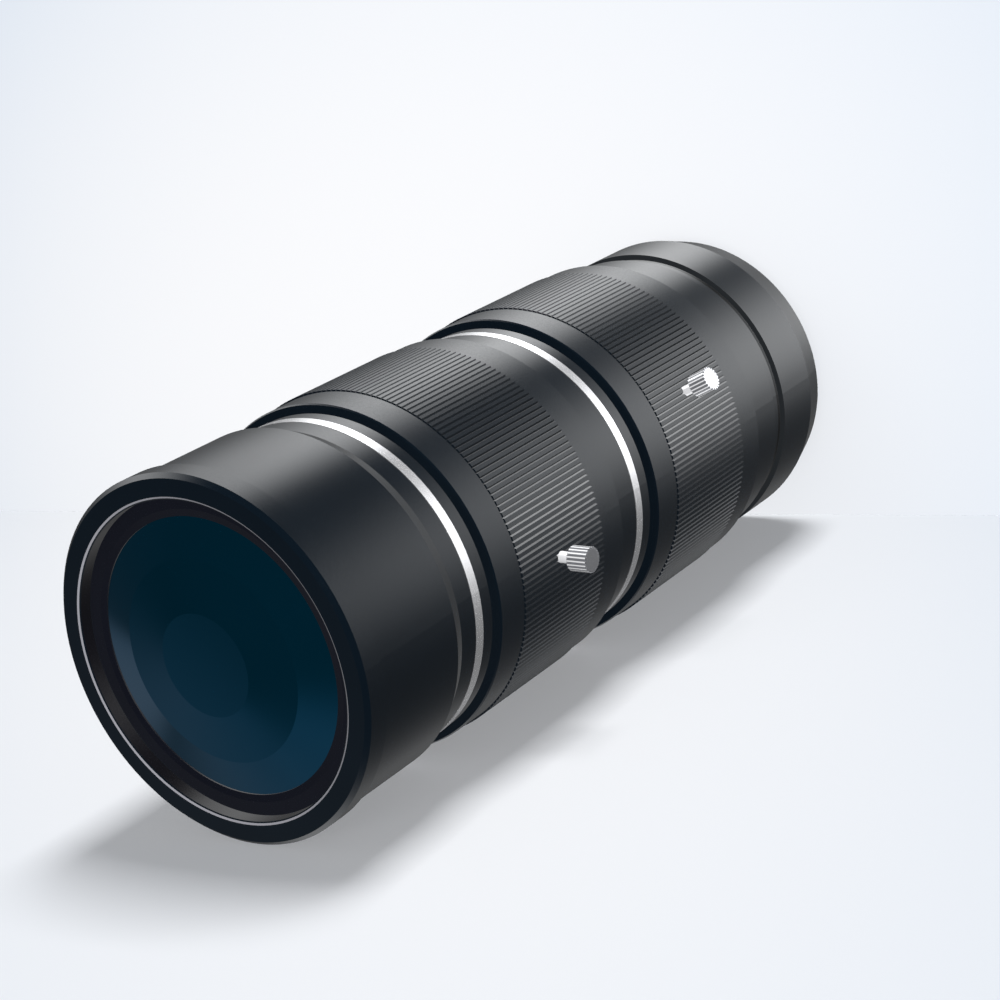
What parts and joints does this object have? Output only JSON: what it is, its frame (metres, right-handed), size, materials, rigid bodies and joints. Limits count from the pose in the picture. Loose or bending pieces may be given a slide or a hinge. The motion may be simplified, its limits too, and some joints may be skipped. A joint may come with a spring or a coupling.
{
  "type": "laser beam expander",
  "caption": "Variable laser beam expander: black cylindrical housing with knurled focus and zoom rings, lock thumbscrews, bright index rings and a recessed output lens.",
  "frame": {"origin": "centre of the flat rear face, at the mouth of the beam entry thread, on the optical axis", "axes": "+Z along the optical axis towards the output lens, which points up as it stands; +X on the side of the two lock screws; +Y completes a right-handed frame"},
  "size_m": [0.0649, 0.0592, 0.145],
  "materials": {
    "anodised_black": "black anodised, fine satin turned surface",
    "bare_aluminium": "bare, finely turned and bright",
    "stainless_steel": "stainless steel, bright turned",
    "coated_glass": "polished optical glass with a blue anti-reflection coating",
    "sliding_plastic": "low-friction polymer"
  },
  "bodies": {
    "housing": {"front_barrel": "anodised_black", "output_retaining_ring": "anodised_black", "output_crown_lens": "coated_glass", "output_flint_lens": "coated_glass", "guide_tube": "anodised_black", "rear_housing": "anodised_black", "entry_lens": "coated_glass", "entry_retaining_ring": "anodised_black", "front_stop_collar": "anodised_black", "rear_stop_collar": "anodised_black", "middle_collar": "anodised_black", "front_index_ring": "bare_aluminium", "rear_index_ring": "bare_aluminium", "focus_ring_front_washer": "sliding_plastic", "focus_ring_rear_washer": "sliding_plastic", "zoom_ring_front_washer": "sliding_plastic", "zoom_ring_rear_washer": "sliding_plastic"},
    "focus_ring": {"focus_ring": "anodised_black"},
    "zoom_ring": {"zoom_ring": "anodised_black"},
    "focus_lock_pad": {"focus_lock_pad": "sliding_plastic"},
    "focus_lock_screw": {"focus_lock_screw": "stainless_steel"},
    "zoom_lock_pad": {"zoom_lock_pad": "sliding_plastic"},
    "zoom_lock_screw": {"zoom_lock_screw": "stainless_steel"},
    "focus_cell": {"focus_cell": "anodised_black", "focus_lens": "coated_glass", "focus_lens_retainer": "anodised_black", "focus_follower_pins": "stainless_steel"},
    "variator_cell": {"variator_cell": "anodised_black", "variator_lens": "coated_glass", "variator_lens_retainer": "anodised_black", "variator_follower_pins": "stainless_steel"},
    "compensator_cell": {"compensator_cell": "anodised_black", "compensator_lens": "coated_glass", "compensator_lens_retainer": "anodised_black", "compensator_follower_pins": "stainless_steel"}
  },
  "joints": [
    {"name": "focus_ring_turn", "type": "hinge", "parent": "housing", "child": "focus_ring", "pos_m": [0, 0, 0], "axis": [0, 0, 1], "range_deg": [-60, 60]},
    {"name": "zoom_ring_turn", "type": "hinge", "parent": "housing", "child": "zoom_ring", "pos_m": [0, 0, 0], "axis": [0, 0, 1], "range_deg": [-80, 40]},
    {"name": "focus_cell_slide", "type": "slide", "parent": "housing", "child": "focus_cell", "axis": [0, 0, 1], "range_m": [-0.00501, 0.00501]},
    {"name": "variator_cell_slide", "type": "slide", "parent": "housing", "child": "variator_cell", "axis": [0, 0, 1], "range_m": [-0.00801, 0.00401]},
    {"name": "compensator_cell_slide", "type": "slide", "parent": "housing", "child": "compensator_cell", "axis": [0, 0, 1], "range_m": [-0.00134, 0.00268]},
    {"name": "focus_lock_pad_slide", "type": "slide", "parent": "focus_ring", "child": "focus_lock_pad", "axis": [0.9976, -0.0698, 0], "range_m": [-0.00024, 0.0006]},
    {"name": "focus_lock_screw_turn", "type": "hinge", "parent": "focus_lock_pad", "child": "focus_lock_screw", "pos_m": [0, 0, 0.09395], "axis": [0.9976, -0.0698, 0], "range_deg": [-217, 541]},
    {"name": "zoom_lock_pad_slide", "type": "slide", "parent": "zoom_ring", "child": "zoom_lock_pad", "axis": [0.9361, 0.3518, 0], "range_m": [-0.00024, 0.0006]},
    {"name": "zoom_lock_screw_turn", "type": "hinge", "parent": "zoom_lock_pad", "child": "zoom_lock_screw", "pos_m": [0, 0, 0.04745], "axis": [0.9361, 0.3518, 0], "range_deg": [-217, 541]}
  ],
  "couplings": [
    {"joint": "focus_cell_slide", "follows": "focus_ring_turn", "m_per_rad": 0.0047746},
    {"joint": "variator_cell_slide", "follows": "zoom_ring_turn", "m_per_rad": 0.0057296},
    {"joint": "compensator_cell_slide", "follows": "zoom_ring_turn", "m_per_rad": -0.0019099},
    {"joint": "focus_lock_screw_turn", "follows": "focus_lock_pad_slide", "rad_per_m": 15708},
    {"joint": "zoom_lock_screw_turn", "follows": "zoom_lock_pad_slide", "rad_per_m": 15708}
  ]
}
